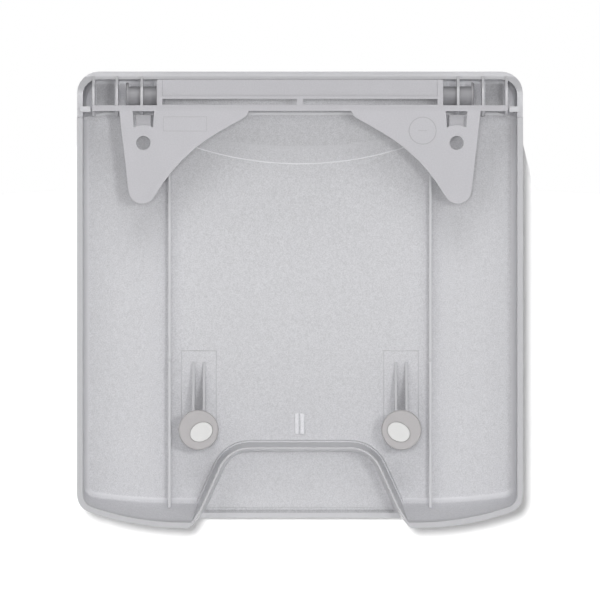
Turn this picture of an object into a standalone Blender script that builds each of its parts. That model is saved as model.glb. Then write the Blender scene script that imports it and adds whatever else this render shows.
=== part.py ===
"""Hinged cover for an outdoor socket, closed, as it hangs on the wall.

Metres, +Z up. The user stands at -Y and the wall is the plane y = 0. The origin is the middle of the
hinge bracket's strip, on its back face. Depth below means the distance in front of the wall, so y = -depth.
"""

import math

import bmesh
import bpy
from mathutils import Matrix, Vector

# Fixing holes in the bracket's ears, which set the widths round them
FIXING_PITCH = 0.0603
FIXING_DROP = 0.0067
FIXING_HOLE_RADIUS = 0.00135

# Lid shell
LID_PAST_FIXING = 0.0128
LID_HEIGHT = 0.0880
LID_DEPTH = 0.0135
WALL_GAP = 0.0003
TOP_ABOVE_ORIGIN = 0.00714
WALL = 0.0011
TOP_WALL = 0.0015
SKIN = 0.0014
TOP_CORNER_RADIUS = 0.0041
BOTTOM_CORNER_RADIUS = 0.0037
FRONT_EDGE_RADIUS = 0.0020
FLOOR_FILLET = 0.0011
CROWN = 0.0018
CROWN_REACH = 0.01745

# Bottom wall, which leans out towards the rim
BOTTOM_LEAN = 0.0041
BULGE_PAST_RECESS = 0.0015
RIM_BULGE_RADIUS = 0.054
FRONT_BULGE_RADIUS = 0.176

# Finger recess in the bottom wall, and the tab of front skin that runs on behind it
RECESS_HEIGHT = 0.0152
RECESS_TOP_WIDTH = 0.0271
RECESS_FLANK_LEAN = 0.455
RECESS_MOUTH_LEAN = 0.62
RECESS_FILLET = 0.0060
RECESS_BEND_RADIUS = 0.0050
RECESS_NOSE_RADIUS = 0.0026
RECESS_NOSE_RUNOUT = (0.0100, 0.0026)
RECESS_DRAFT = 0.0006
RECESS_RIM = 0.0004
RECESS_LEDGE = (0.00125, 0.00145)
RECESS_LEDGE_HEIGHT = 0.0012
RECESS_FOOT = 0.0018
TAB_SETBACK = 0.0018
TAB_EDGE = 0.0005
LIP = 0.0010
LIP_RISE = 0.0013

# Ribs and marks on the lid's floor
FLOOR_RIB_SPACING = 0.0504
FLOOR_RIB_THICKNESS = 0.0005
FLOOR_RIB_HEIGHT = 0.0040
FLOOR_RIB_LOW_HEIGHT = 0.0034
FLOOR_RIB_TOP = 0.0150
FLOOR_RIB_STEP = 0.0560
FLOOR_RIB_END = 0.0038
MARK_WIDTHS = (0.0007, 0.0009)
MARK_GAP = 0.0003
MARK_LENGTH = 0.0040
MARK_HEIGHT = 0.0004
MARK_ABOVE_RECESS = 0.0028

# Raised land under the hinge
LAND_HEIGHT = 0.0008
LAND_BELOW_TOP = 0.0177
LAND_RADIUS = 0.0656
LAND_SLOPE = 0.0034
LAND_TOP_RADIUS = 0.110
LAND_RIB_GAP = 0.0015

# Buffers on their bosses
BUFFER_SPACING = 0.0391
BUFFER_ABOVE_BOTTOM = 0.0189
BUFFER_RADIUS = 0.00387
BUFFER_THICKNESS = 0.0022
BUFFER_WALL_GAP = 0.0012
BUFFER_EDGE = 0.0004
STEM_RADIUS = 0.0015
STEM_LENGTH = 0.0030
BOSS_RADIUS = 0.0035
BOSS_BORE_DEPTH = 0.0040
SEAT_GAP = 0.0003
GUSSET_THICKNESS = 0.0005
GUSSET_SPACING = 0.00204
GUSSET_LENGTH = 0.0095
GUSSET_BELOW_BUFFER = 0.0010
PLUG_LONG_RADIUS = 0.00225
PLUG_SHORT_RADIUS = 0.00175
PLUG_DEPTH = 0.0008
PLUG_TILT = math.radians(29)
PLUG_INWARD = 0.00055
PLUG_DOWN = 0.00040

# Hinge
HINGE_BELOW_TOP = 0.0047
HINGE_DEPTH = 0.0068
PIN_RADIUS = 0.00183
PIN_HEAD_RADIUS = 0.0026
PIN_HEAD = 0.0005
PIN_CLEARANCE = 0.0002
HINGE_RIB_INSETS = (0.01245, 0.00765, 0.00315)
HINGE_RIB_THICKNESS = 0.0005
HINGE_RIB_REACH = 0.0046
HINGE_RIB_DROP = 0.0039
PIN_LENGTH = 0.0066
CUT_BACK_TOP = 0.0062
CUT_BACK_SIDE = 0.0024
CUT_BACK_HEIGHT = 0.0090
PARTITION_THICKNESS = 0.0005
PARTITION_HEIGHT = 0.0020
PARTITION_BELOW_TOP = 0.0078
PARTITION_END_DROP = 0.0011
PARTITION_END_LENGTH = 0.0045
LUG_SIZE = (0.0016, 0.0040, 0.00105)
LUG_DEPTH = 0.0010
LUG_DROP = 0.00018
LUG_GAP = 0.0003

# Hinge bracket
PLATE = 0.0012
EAR_PLATE = 0.0018
BAR_INSET = 0.01538
BAR_TOP = 0.0055
BAR_CORNER_RADIUS = 0.0003
STRIP_INSET = 0.00295
STRIP_HEIGHT = 0.00112
BAR_RECESS = 0.0003
BAR_BORDER = 0.0011
RIDGE = 0.0006
SLOT_HEIGHT = 0.0011
SLOT_WEB = 0.00125
EAR_GAP = 0.0197
EAR_PAST_FIXING = 0.00465
EAR_BEND = (-0.00675, -0.0090)
EAR_BEND_RADIUS = 0.033
EAR_POINT = (0.0019, -0.0241)
EAR_TIP_RADIUS = 0.00265
EAR_NOTCH = (0.0006, 0.0011)
WINDOW_WIDTH = 0.0041
WINDOW_TAPER = 0.0002
WINDOW_TOP_DROP = 0.0006
WINDOW_ARC_RADIUS = 0.0035
WINDOW_TONGUE = (0.0028, 0.0019)
WINDOW_TONGUE_DEPTH = 0.0007
ARM_THICKNESS = 0.0011
ARM_EYE_RADIUS = 0.0028
ARM_HEIGHT = 0.0026
ARM_DROP = 0.0026

# Working values
ROUND_STEPS = 32
CORNER_STEPS = 6
ARC_STEPS = 7
CROWN_STEPS = 5
OVERLAP = 0.5
HAIR = 0.00005
PAST_RIM = 0.002
CUT_PAST_RIM = 0.004

TOP = TOP_ABOVE_ORIGIN
BOTTOM = TOP - LID_HEIGHT
FIXING_X = FIXING_PITCH / 2
HALF_WIDTH = FIXING_X + LID_PAST_FIXING
FLAT_HALF_WIDTH = HALF_WIDTH - CROWN_REACH
HINGE_RIB_PLACES = tuple(HALF_WIDTH - inset for inset in HINGE_RIB_INSETS)
BAR_HALF_WIDTH = HALF_WIDTH - BAR_INSET
STRIP_HALF_WIDTH = HALF_WIDTH - STRIP_INSET
FRONT = WALL_GAP + LID_DEPTH
FLOOR = FRONT - SKIN
AXIS_Z = TOP - HINGE_BELOW_TOP
RECESS_TOP = BOTTOM + RECESS_HEIGHT
RECESS_MOUTH = (RECESS_TOP_WIDTH / 2 + RECESS_FLANK_LEAN * (RECESS_HEIGHT - BOTTOM_LEAN)
                + RECESS_MOUTH_LEAN * BOTTOM_LEAN)
BUFFER_Z = BOTTOM + BUFFER_ABOVE_BOTTOM

GREY_PLASTIC = (0.60, 0.60, 0.615)
BRACKET_PLASTIC = (0.54, 0.54, 0.565)
BUFFER_GREY = (0.50, 0.49, 0.495)
PLUG_WHITE = (0.80, 0.80, 0.80)


def clear_scene():
    for thing in list(bpy.data.objects):
        bpy.data.objects.remove(thing)


def new_collection(name):
    collection = bpy.data.collections.new(name)
    bpy.context.scene.collection.children.link(collection)
    return collection


def plastic(name, colour, roughness):
    material = bpy.data.materials.new(name)
    material.use_nodes = True
    shader = material.node_tree.nodes["Principled BSDF"]
    shader.inputs["Base Color"].default_value = (*colour, 1.0)
    shader.inputs["Roughness"].default_value = roughness
    shader.inputs["Metallic"].default_value = 0.0
    material.diffuse_color = (*colour, 1.0)
    return material


# Outlines, as lists of (u, v) points

def arc(centre, radius, start, end, steps):
    """Points on a circle from one angle to another, both ends included."""
    angles = [start + (end - start) * i / steps for i in range(steps + 1)]
    return [(centre[0] + radius * math.cos(a), centre[1] + radius * math.sin(a)) for a in angles]


def rounded(corners, steps=CORNER_STEPS):
    """A closed outline through corners (u, v, radius), each with its corner rounded to that radius."""
    outline = []
    for i, (u, v, radius) in enumerate(corners):
        corner = Vector((u, v))
        if radius == 0:
            outline.append((u, v))
            continue
        back = (Vector(corners[i - 1][:2]) - corner).normalized()
        ahead = (Vector(corners[(i + 1) % len(corners)][:2]) - corner).normalized()
        half_angle = back.angle(ahead) / 2
        middle = corner + (back + ahead).normalized() * radius / math.sin(half_angle)
        first = corner + back * radius / math.tan(half_angle) - middle
        last = corner + ahead * radius / math.tan(half_angle) - middle
        turn = first.angle_signed(last)
        for k in range(steps + 1):
            spoke = first.copy()
            spoke.rotate(Matrix.Rotation(-turn * k / steps, 2))
            outline.append(tuple(middle + spoke))
    return outline


# Solids

def mesh_from(name, bm):
    bmesh.ops.recalc_face_normals(bm, faces=bm.faces)
    mesh = bpy.data.meshes.new(name)
    bm.to_mesh(mesh)
    bm.free()
    return mesh


def flat_shape(name, outlines, axes, start, end):
    """A flat 2D curve, its first outline filled and the others left as holes, given a thickness."""
    curve = bpy.data.curves.new(name, "CURVE")
    curve.dimensions = "2D"
    curve.fill_mode = "BOTH"
    curve.extrude = (end - start) / 2
    for outline in outlines:
        spline = curve.splines.new("POLY")
        spline.points.add(len(outline) - 1)
        for point, (u, v) in zip(spline.points, outline):
            point.co = (u, v, 0.0, 1.0)
        spline.use_cyclic_u = True
    flat = bpy.data.objects.new(name, curve)
    across, up, along = axes
    flat.matrix_world = Matrix((across, up, along)).transposed().to_4x4()
    flat.matrix_world.translation = Vector(along) * (start + end) / 2
    bpy.context.scene.collection.objects.link(flat)
    bpy.context.view_layer.update()
    evaluated = flat.evaluated_get(bpy.context.evaluated_depsgraph_get())
    mesh = bpy.data.meshes.new_from_object(evaluated)
    mesh.transform(flat.matrix_world)
    bpy.data.objects.remove(flat)
    bm = bmesh.new()
    bm.from_mesh(mesh)
    bmesh.ops.remove_doubles(bm, verts=bm.verts, dist=1e-7)
    return mesh_from(name, bm)


def facing_wall(name, outlines, near, far):
    """Outlines in (x, z), given a thickness between two depths."""
    return flat_shape(name, outlines, ((1, 0, 0), (0, 0, 1), (0, -1, 0)), near, far)


def across_lid(name, outline, left, right):
    """An outline in (depth, z), given a thickness between two places on the X axis."""
    return flat_shape(name, [[(-depth, z) for depth, z in outline]],
                      ((0, 1, 0), (0, 0, 1), (1, 0, 0)), left, right)


def loft(name, loops):
    """A closed solid through loops of (x, depth, z) points, all of one length, capped at both ends."""
    bm = bmesh.new()
    rings = [[bm.verts.new((x, -depth, z)) for x, depth, z in loop] for loop in loops]
    for ring, following in zip(rings, rings[1:]):
        for i in range(len(ring)):
            j = (i + 1) % len(ring)
            bm.faces.new((ring[i], ring[j], following[j], following[i]))
    bm.faces.new(rings[0])
    bm.faces.new(rings[-1])
    return mesh_from(name, bm)


def cylinder(name, radius, start, end, centre, along_x=False):
    """A cylinder along X, or along depth, between two places on that axis."""
    bm = bmesh.new()
    bmesh.ops.create_cone(bm, cap_ends=True, segments=ROUND_STEPS, radius1=radius, radius2=radius,
                          depth=end - start)
    middle = (start + end) / 2
    if along_x:
        turn = Matrix.Rotation(math.pi / 2, 4, "Y")
        place = Matrix.Translation((middle, -centre[0], centre[1]))
    else:
        turn = Matrix.Rotation(math.pi / 2, 4, "X")
        place = Matrix.Translation((centre[0], -middle, centre[1]))
    bmesh.ops.transform(bm, matrix=place @ turn, verts=bm.verts)
    return mesh_from(name, bm)


class Model:
    """The named parts, and the tool solids that their Boolean modifiers use."""

    def __init__(self):
        self.parts = new_collection("outdoor_socket_cover")
        self.tools = new_collection("tools")

    def part(self, name, mesh, material):
        thing = bpy.data.objects.new(name, mesh)
        mesh.materials.append(material)
        self.parts.objects.link(thing)
        return thing

    def tool(self, mesh):
        thing = bpy.data.objects.new(mesh.name, mesh)
        self.tools.objects.link(thing)
        thing.hide_render = True
        thing.display_type = "WIRE"
        return thing

    def combine(self, target, operation, mesh):
        modifier = target.modifiers.new(f"{operation.lower()} {mesh.name}", "BOOLEAN")
        modifier.operation = operation
        modifier.solver = "EXACT"
        modifier.object = self.tool(mesh)
        return modifier

    def add(self, target, mesh):
        return self.combine(target, "UNION", mesh)

    def cut(self, target, mesh):
        return self.combine(target, "DIFFERENCE", mesh)


# Lid

def crown(x):
    """How far the front falls back towards the sides, outside its flat middle."""
    beyond = max(0.0, abs(x) - FLAT_HALF_WIDTH) / CROWN_REACH
    return CROWN * beyond ** 2


def floor_depth(x):
    return FLOOR - crown(x)


def lid_outline(lean, inset, top_inset):
    """The lid's outline in (x, z). lean runs from 0 at the rim to 1 at the front."""
    side = HALF_WIDTH - inset
    low = BOTTOM + BOTTOM_LEAN * lean + inset
    bend = (1 - lean) / RIM_BULGE_RADIUS + lean / FRONT_BULGE_RADIUS
    bulge_radius = 1 / bend - inset
    middle = RECESS_MOUTH + BULGE_PAST_RECESS
    corner = max(BOTTOM_CORNER_RADIUS - inset, FLOOR_FILLET)
    spread = side - corner - middle

    def bottom(distance):
        return low + bulge_radius - math.sqrt(bulge_radius ** 2 - distance ** 2)

    bulge = [(middle + spread * i / ARC_STEPS, bottom(spread * i / ARC_STEPS)) for i in range(ARC_STEPS + 1)]
    slope = spread / math.sqrt(bulge_radius ** 2 - spread ** 2)
    corner_z = bottom(spread) + slope * (side - middle - spread)
    half = [(side, TOP - top_inset, max(TOP_CORNER_RADIUS - inset, FLOOR_FILLET)),
            (side, corner_z, corner)]
    half += [(x, z, 0) for x, z in reversed(bulge)]
    return rounded(half + [(-x, z, radius) for x, z, radius in reversed(half)])


def lid_form(name, inset, top_inset, front, edge_radius, back):
    """The lid's outer form, or the hollow inside it, with a rounded front edge and a crowned front."""

    def ring(depth, extra):
        lean = max(0.0, min(1.0, (depth - WALL_GAP) / LID_DEPTH))
        return [(x, depth, z) for x, z in lid_outline(lean, inset + extra, top_inset + extra)]

    edge_start = front - edge_radius
    rings = [ring(back, 0.0)]
    if back < WALL_GAP:
        rings.append(ring(WALL_GAP, 0.0))
    rings.append(ring((WALL_GAP + edge_start) / 2, 0.0))
    for k in range(CORNER_STEPS + 1):
        turn = math.pi / 2 * k / CORNER_STEPS
        rings.append(ring(edge_start + edge_radius * math.sin(turn), edge_radius * (1 - math.cos(turn))))
    mesh = loft(name, rings)
    bm = bmesh.new()
    bm.from_mesh(mesh)
    for side in (-1, 1):
        for k in range(CROWN_STEPS):
            x = side * (FLAT_HALF_WIDTH + CROWN_REACH * k / CROWN_STEPS)
            everything = bm.verts[:] + bm.edges[:] + bm.faces[:]
            bmesh.ops.bisect_plane(bm, geom=everything, plane_co=(x, 0, 0), plane_no=(1, 0, 0), dist=1e-6)
    for vert in bm.verts:
        share = max(0.0, min(1.0, (-vert.co.y - WALL_GAP) / (edge_start - WALL_GAP)))
        vert.co.y += crown(vert.co.x) * share
    bm.to_mesh(mesh)
    bm.free()
    return mesh


def recess_outline(grow):
    """The finger recess in (x, z), grown by a wall. Its mouth flares round the noses of the bottom wall."""
    lean = math.atan(RECESS_FLANK_LEAN)
    widening = grow / math.cos(lean)
    top_half = RECESS_TOP_WIDTH / 2 + widening - grow * math.tan(lean)
    bend_half = RECESS_TOP_WIDTH / 2 + widening + RECESS_FLANK_LEAN * (RECESS_HEIGHT - BOTTOM_LEAN)
    mouth_half = RECESS_MOUTH + widening
    runout, drop = RECESS_NOSE_RUNOUT
    half = [(top_half, RECESS_TOP + grow, RECESS_FILLET + grow),
            (bend_half, BOTTOM + BOTTOM_LEAN, RECESS_BEND_RADIUS),
            (mouth_half, BOTTOM, RECESS_NOSE_RADIUS),
            (mouth_half + runout, BOTTOM - drop, 0),
            (mouth_half + runout, BOTTOM - runout, 0)]
    return rounded(half + [(-x, z, radius) for x, z, radius in reversed(half)])


def recess_cut():
    """The cut through the bottom wall, a little narrower at the front than at the rim."""
    rings = [(-CUT_PAST_RIM, 0.0), (WALL_GAP, 0.0), (FLOOR, -RECESS_DRAFT)]
    return loft("recess", [[(x, depth, z) for x, z in recess_outline(grow)] for depth, grow in rings])


def recess_wall():
    """The solid left round the recess: a thin rim, a sloped side, and a small ledge just above the floor."""
    ledge = FLOOR - RECESS_LEDGE_HEIGHT
    rings = [(-CUT_PAST_RIM, RECESS_RIM), (WALL_GAP, RECESS_RIM), (ledge, RECESS_LEDGE[0]),
             (ledge, RECESS_LEDGE[1]), (FRONT - SKIN * OVERLAP, RECESS_FOOT)]
    return loft("recess wall", [[(x, depth, z) for x, z in recess_outline(grow)] for depth, grow in rings])


def tab(model, lid):
    """Front skin that runs on below the recess, with a lip along its edge."""
    low = BOTTOM + TAB_SETBACK
    half = RECESS_MOUTH - RECESS_MOUTH_LEAN * TAB_SETBACK - RECESS_DRAFT
    high = BOTTOM + BOTTOM_LEAN + 0.0017
    outline = [(FRONT - HAIR, high), (FRONT - HAIR, low + TAB_EDGE), (FRONT - TAB_EDGE, low),
               (FLOOR - LIP_RISE, low), (FLOOR - LIP_RISE, low + LIP), (FLOOR + HAIR, low + LIP),
               (FLOOR + HAIR, high)]
    model.add(lid, across_lid("tab", outline, -half, half))


def rib_between(name, x, thickness, near, top, end):
    """A straight rib on the floor at one x, from a depth down into the skin."""
    foot = floor_depth(x) + SKIN * OVERLAP
    outline = [(near, top), (foot, top), (foot, end), (near, end)]
    return across_lid(name, outline, x - thickness / 2, x + thickness / 2)


def floor_ribs(model, lid):
    top = TOP - FLOOR_RIB_TOP
    step = TOP - FLOOR_RIB_STEP
    end = BOTTOM + FLOOR_RIB_END
    for side in (-1, 1):
        x = side * FLOOR_RIB_SPACING / 2
        foot = floor_depth(x) + SKIN * OVERLAP
        outline = [(FLOOR - FLOOR_RIB_LOW_HEIGHT, top), (foot, top), (foot, end), (FLOOR - FLOOR_RIB_HEIGHT, end),
                   (FLOOR - FLOOR_RIB_HEIGHT, step), (FLOOR - FLOOR_RIB_LOW_HEIGHT, step + 0.0008)]
        model.add(lid, across_lid(f"floor rib {side}", outline, x - FLOOR_RIB_THICKNESS / 2,
                                  x + FLOOR_RIB_THICKNESS / 2))


def centre_marks(model, lid):
    total = sum(MARK_WIDTHS) + MARK_GAP
    x = total / 2
    low = RECESS_TOP + MARK_ABOVE_RECESS
    for i, width in enumerate(MARK_WIDTHS):
        middle = x - width / 2
        model.add(lid, rib_between(f"centre ridge {i}", middle, width, FLOOR - MARK_HEIGHT, low + MARK_LENGTH, low))
        x -= width + MARK_GAP


def land(model, lid):
    """A thickened floor under the hinge, ending in a sloped edge that bows downwards."""

    def edge(radius, lowest, depth, grow):
        half_angle = math.asin((HINGE_RIB_PLACES[0] - LAND_RIB_GAP + grow) / radius)
        bow = arc((0, lowest + radius), radius, -math.pi / 2 - half_angle, -math.pi / 2 + half_angle, 12)
        above = TOP - TOP_WALL * OVERLAP
        outline = bow + [(bow[-1][0], above), (bow[0][0], above)]
        return [(x, depth, z) for x, z in outline]

    lowest = TOP - LAND_BELOW_TOP
    slope = LAND_SLOPE / LAND_HEIGHT
    foot_drop = 0.0002
    foot = edge(LAND_RADIUS, lowest - foot_drop * slope, FLOOR + foot_drop, foot_drop)
    rise = edge(LAND_TOP_RADIUS, lowest + LAND_SLOPE, FLOOR - LAND_HEIGHT, -0.0008)
    model.add(lid, loft("land", [rise, foot]))


def bosses(model, lid):
    top = BUFFER_WALL_GAP + BUFFER_THICKNESS + SEAT_GAP
    for side in (-1, 1):
        x = side * BUFFER_SPACING / 2
        foot = floor_depth(x) + SKIN * OVERLAP
        model.add(lid, cylinder(f"boss {side}", BOSS_RADIUS, top, foot, (x, BUFFER_Z)))
        for offset in (-GUSSET_SPACING / 2, GUSSET_SPACING / 2):
            high = BUFFER_Z + BOSS_RADIUS + GUSSET_LENGTH
            low = BUFFER_Z + BOSS_RADIUS * OVERLAP
            outline = [(foot, high), (foot, low), (top + GUSSET_BELOW_BUFFER, low),
                       (top + GUSSET_BELOW_BUFFER, BUFFER_Z + BOSS_RADIUS + 0.0004), (FLOOR - 0.0003, high)]
            middle = x + offset
            model.add(lid, across_lid(f"gusset {side} {offset > 0}", outline, middle - GUSSET_THICKNESS / 2,
                                      middle + GUSSET_THICKNESS / 2))
        model.cut(lid, cylinder(f"boss bore {side}", STEM_RADIUS + SEAT_GAP, top - 0.001, top + BOSS_BORE_DEPTH,
                                (x, BUFFER_Z)))


def hinge_zone(model, lid):
    """Clears the rim where the lid swings past the wall, then adds the ribs that carry the pins."""
    step = TOP - CUT_BACK_HEIGHT
    inside = TOP - TOP_WALL
    model.cut(lid, across_lid("hinge cut back", rounded([
        (-0.005, step, 0), (CUT_BACK_SIDE, step, 0.0005), (CUT_BACK_SIDE, AXIS_Z + 0.0008, 0.0025),
        (CUT_BACK_TOP, inside + 0.0006, 0.0008), (CUT_BACK_TOP, TOP + 0.005, 0), (-0.005, TOP + 0.005, 0)]),
        -HALF_WIDTH - 0.005, HALF_WIDTH + 0.005))
    back = HINGE_DEPTH - HINGE_RIB_REACH
    low = AXIS_Z - HINGE_RIB_DROP
    for side in (-1, 1):
        for number, place in enumerate(HINGE_RIB_PLACES):
            x = side * place
            foot = floor_depth(x) + SKIN * OVERLAP
            outline = rounded([(foot, inside + TOP_WALL * 0.4, 0), (CUT_BACK_TOP - 0.0006, inside + TOP_WALL * 0.4, 0),
                               (back, AXIS_Z + 0.0015, 0.0015), (back, low + 0.0012, 0.0012),
                               (back + 0.0023, low, 0.0010), (foot, low, 0)])
            model.add(lid, across_lid(f"hinge rib {side} {number}", outline, x - HINGE_RIB_THICKNESS / 2,
                                      x + HINGE_RIB_THICKNESS / 2))
        x = side * HINGE_RIB_PLACES[0]
        reach = HINGE_RIB_THICKNESS * 2
        model.cut(lid, cylinder(f"pin bearing {side}", PIN_RADIUS + PIN_CLEARANCE, x - reach, x + reach,
                                (HINGE_DEPTH, AXIS_Z), along_x=True))


def partition(model, lid):
    """A low wall between the hinge cells and the cavity, which dips where it meets the side walls."""
    high = TOP - PARTITION_BELOW_TOP
    half = HALF_WIDTH - WALL * OVERLAP
    bend = half - PARTITION_END_LENGTH
    drop = PARTITION_END_DROP
    thick = PARTITION_THICKNESS
    outline = [(bend, high), (half, high - drop), (half, high - drop - thick), (bend, high - thick),
               (-bend, high - thick), (-half, high - drop - thick), (-half, high - drop), (-bend, high)]
    model.add(lid, facing_wall("partition", [outline], FLOOR - PARTITION_HEIGHT, floor_depth(half) + SKIN * 0.3))


def lugs(model, lid):
    """Small blocks on the side walls, level with the bracket's strip."""
    width, length, height = LUG_SIZE
    for side in (-1, 1):
        inner = STRIP_HALF_WIDTH + LUG_GAP
        outer = HALF_WIDTH - WALL * OVERLAP
        low, high = sorted((side * inner, side * outer))
        outline = [(LUG_DEPTH, height / 2 - LUG_DROP), (LUG_DEPTH + length, height / 2 - LUG_DROP),
                   (LUG_DEPTH + length, -height / 2 - LUG_DROP), (LUG_DEPTH, -height / 2 - LUG_DROP)]
        model.add(lid, across_lid(f"lug {side}", outline, low, high))


def make_lid(model, material):
    lid = model.part("lid", lid_form("lid", 0.0, 0.0, FRONT, FRONT_EDGE_RADIUS, WALL_GAP), material)
    hollow = model.tool(lid_form("hollow", WALL, TOP_WALL, FLOOR, FLOOR_FILLET, -PAST_RIM))
    model.cut(hollow, recess_wall())
    modifier = lid.modifiers.new("hollow", "BOOLEAN")
    modifier.operation = "DIFFERENCE"
    modifier.solver = "EXACT"
    modifier.object = hollow
    model.cut(lid, recess_cut())
    tab(model, lid)
    hinge_zone(model, lid)
    partition(model, lid)
    land(model, lid)
    lugs(model, lid)
    floor_ribs(model, lid)
    bosses(model, lid)
    centre_marks(model, lid)
    return lid


# Hinge bracket

def bar_outline():
    """The bar and the strip under it."""
    strip = STRIP_HEIGHT / 2
    half = [(BAR_HALF_WIDTH, BAR_TOP, BAR_CORNER_RADIUS), (BAR_HALF_WIDTH, strip, 0),
            (STRIP_HALF_WIDTH, strip, 0), (STRIP_HALF_WIDTH, -strip, 0)]
    return rounded(half + [(-x, z, radius) for x, z, radius in reversed(half)])


def ears(model, bracket):
    """The two tapering ears, each let into the strip at its top."""
    strip = STRIP_HEIGHT / 2
    root = strip - STRIP_HEIGHT * OVERLAP * OVERLAP
    near = EAR_GAP / 2
    far = FIXING_X + EAR_PAST_FIXING
    outline = rounded([
        (far, root, 0), (far, -strip, 0), (FIXING_X + EAR_POINT[0], EAR_POINT[1], EAR_TIP_RADIUS),
        (FIXING_X + EAR_BEND[0], EAR_BEND[1], EAR_BEND_RADIUS),
        (near + EAR_NOTCH[0], -strip - EAR_NOTCH[1], EAR_NOTCH[0]), (near, -strip, 0), (near, root, 0)])
    for side in (-1, 1):
        model.add(bracket, facing_wall(f"ear {side}", [[(side * x, z) for x, z in outline]], 0.0, EAR_PLATE))


def plate_cuts(model, bracket):
    """The two slots, and in each ear a fixing hole with a window above it."""
    slot_low = STRIP_HEIGHT / 2 + 0.0001
    for side in (-1, 1):
        near = side * SLOT_WEB / 2
        far = side * (BAR_HALF_WIDTH - BAR_BORDER)
        slot = [(near, slot_low), (far, slot_low), (far, slot_low + SLOT_HEIGHT), (near, slot_low + SLOT_HEIGHT)]
        model.cut(bracket, facing_wall(f"slot {side}", [slot], -0.002, PLATE + 0.002))
        x = side * FIXING_X
        model.cut(bracket, cylinder(f"fixing hole {side}", FIXING_HOLE_RADIUS, -0.002, EAR_PLATE + 0.002,
                                    (x, -FIXING_DROP)))
        half_top = WINDOW_WIDTH / 2
        half_low = half_top - WINDOW_TAPER
        reach = math.acos(half_low / WINDOW_ARC_RADIUS)
        bow = arc((x, -FIXING_DROP), WINDOW_ARC_RADIUS, math.pi - reach, reach, 6)
        window = [(x + half_top, -WINDOW_TOP_DROP), (x - half_top, -WINDOW_TOP_DROP), *bow]
        model.cut(bracket, facing_wall(f"window {side}", [window], -0.002, EAR_PLATE + 0.002))
        half, height = WINDOW_TONGUE[0] / 2, WINDOW_TONGUE[1]
        foot = -FIXING_DROP + WINDOW_ARC_RADIUS * (1 - OVERLAP / 2)
        tip = -FIXING_DROP + WINDOW_ARC_RADIUS + height
        tongue = [(x + half, foot), (x + half, tip), (x - half, tip), (x - half, foot)]
        model.add(bracket, facing_wall(f"tongue {side}", [tongue], WINDOW_TONGUE_DEPTH, EAR_PLATE - HAIR))


def arms(model, bracket):
    """Hooked arms that reach from the ears, under the lid's swing, up to the pins."""
    low = AXIS_Z - ARM_DROP - ARM_HEIGHT
    high = AXIS_Z - ARM_DROP
    for side in (-1, 1):
        outer = side * BAR_HALF_WIDTH
        inner = outer - side * ARM_THICKNESS
        left, right = sorted((inner, outer))
        eye = arc((HINGE_DEPTH, AXIS_Z), ARM_EYE_RADIUS, 0.0, math.pi, ROUND_STEPS // 2)
        outline = eye + [(HINGE_DEPTH - ARM_EYE_RADIUS, high), (PLATE * OVERLAP, high), (PLATE * OVERLAP, low),
                         (HINGE_DEPTH + ARM_EYE_RADIUS * 0.2, low), (HINGE_DEPTH + ARM_EYE_RADIUS, high)]
        model.add(bracket, across_lid(f"arm {side}", outline, left, right))
        model.cut(bracket, cylinder(f"arm bore {side}", PIN_RADIUS + PIN_CLEARANCE, left - 0.001, right + 0.001,
                                    (HINGE_DEPTH, AXIS_Z), along_x=True))


def make_bracket(model, material):
    bracket = model.part("hinge_bracket", facing_wall("hinge_bracket", [bar_outline()], 0.0, PLATE), material)
    ears(model, bracket)
    plate_cuts(model, bracket)
    recess_low = STRIP_HEIGHT / 2 + 0.0001 + SLOT_HEIGHT + RIDGE
    half = BAR_HALF_WIDTH - BAR_BORDER
    model.cut(bracket, facing_wall("bar recess", [[(half, recess_low), (half, BAR_TOP + 0.002),
                                                   (-half, BAR_TOP + 0.002), (-half, recess_low)]],
                                   -0.002, BAR_RECESS))
    arms(model, bracket)
    return bracket


# Pins, buffers and plugs

def turned(model, name, profile, material, matrix):
    """A part turned about its own Z axis from a profile of (radius, height) points, listed top to bottom."""
    mesh = bpy.data.meshes.new(name)
    mesh.from_pydata([(radius, 0.0, height) for radius, height in profile],
                     [(i, i + 1) for i in range(len(profile) - 1)], [])
    thing = model.part(name, mesh, material)
    screw = thing.modifiers.new("turn", "SCREW")
    screw.axis = "Z"
    screw.steps = ROUND_STEPS
    screw.render_steps = ROUND_STEPS
    screw.use_merge_vertices = True
    screw.merge_threshold = 0.000001
    screw.use_smooth_shade = True
    thing.matrix_world = matrix
    return thing


def pin_profile():
    chamfer = 0.0003
    return [(0, PIN_LENGTH + PIN_HEAD), (PIN_HEAD_RADIUS - chamfer / 2, PIN_LENGTH + PIN_HEAD),
            (PIN_HEAD_RADIUS, PIN_LENGTH + PIN_HEAD - chamfer / 2), (PIN_HEAD_RADIUS, PIN_LENGTH),
            (PIN_RADIUS, PIN_LENGTH), (PIN_RADIUS, chamfer), (PIN_RADIUS - chamfer, 0), (0, 0)]


def make_pins(model, material):
    """Each pin lies along X, its head outside the lid's first hinge rib."""
    start = BAR_HALF_WIDTH - ARM_THICKNESS
    for side, name in ((1, "hinge_pin_left"), (-1, "hinge_pin_right")):
        outwards = Matrix.Rotation(side * math.pi / 2, 4, "Y")
        place = Matrix.Translation((side * start, -HINGE_DEPTH, AXIS_Z))
        turned(model, name, pin_profile(), material, place @ outwards)


def buffer_profile():
    """Height runs from the stem's end, at 0, to the face that meets the wall plate."""
    top = STEM_LENGTH + BUFFER_THICKNESS
    edge = arc((BUFFER_RADIUS - BUFFER_EDGE, top - BUFFER_EDGE), BUFFER_EDGE, math.pi / 2, 0, 4)
    return [(0, top), *edge, (BUFFER_RADIUS, STEM_LENGTH), (STEM_RADIUS, STEM_LENGTH), (STEM_RADIUS, 0), (0, 0)]


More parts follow.
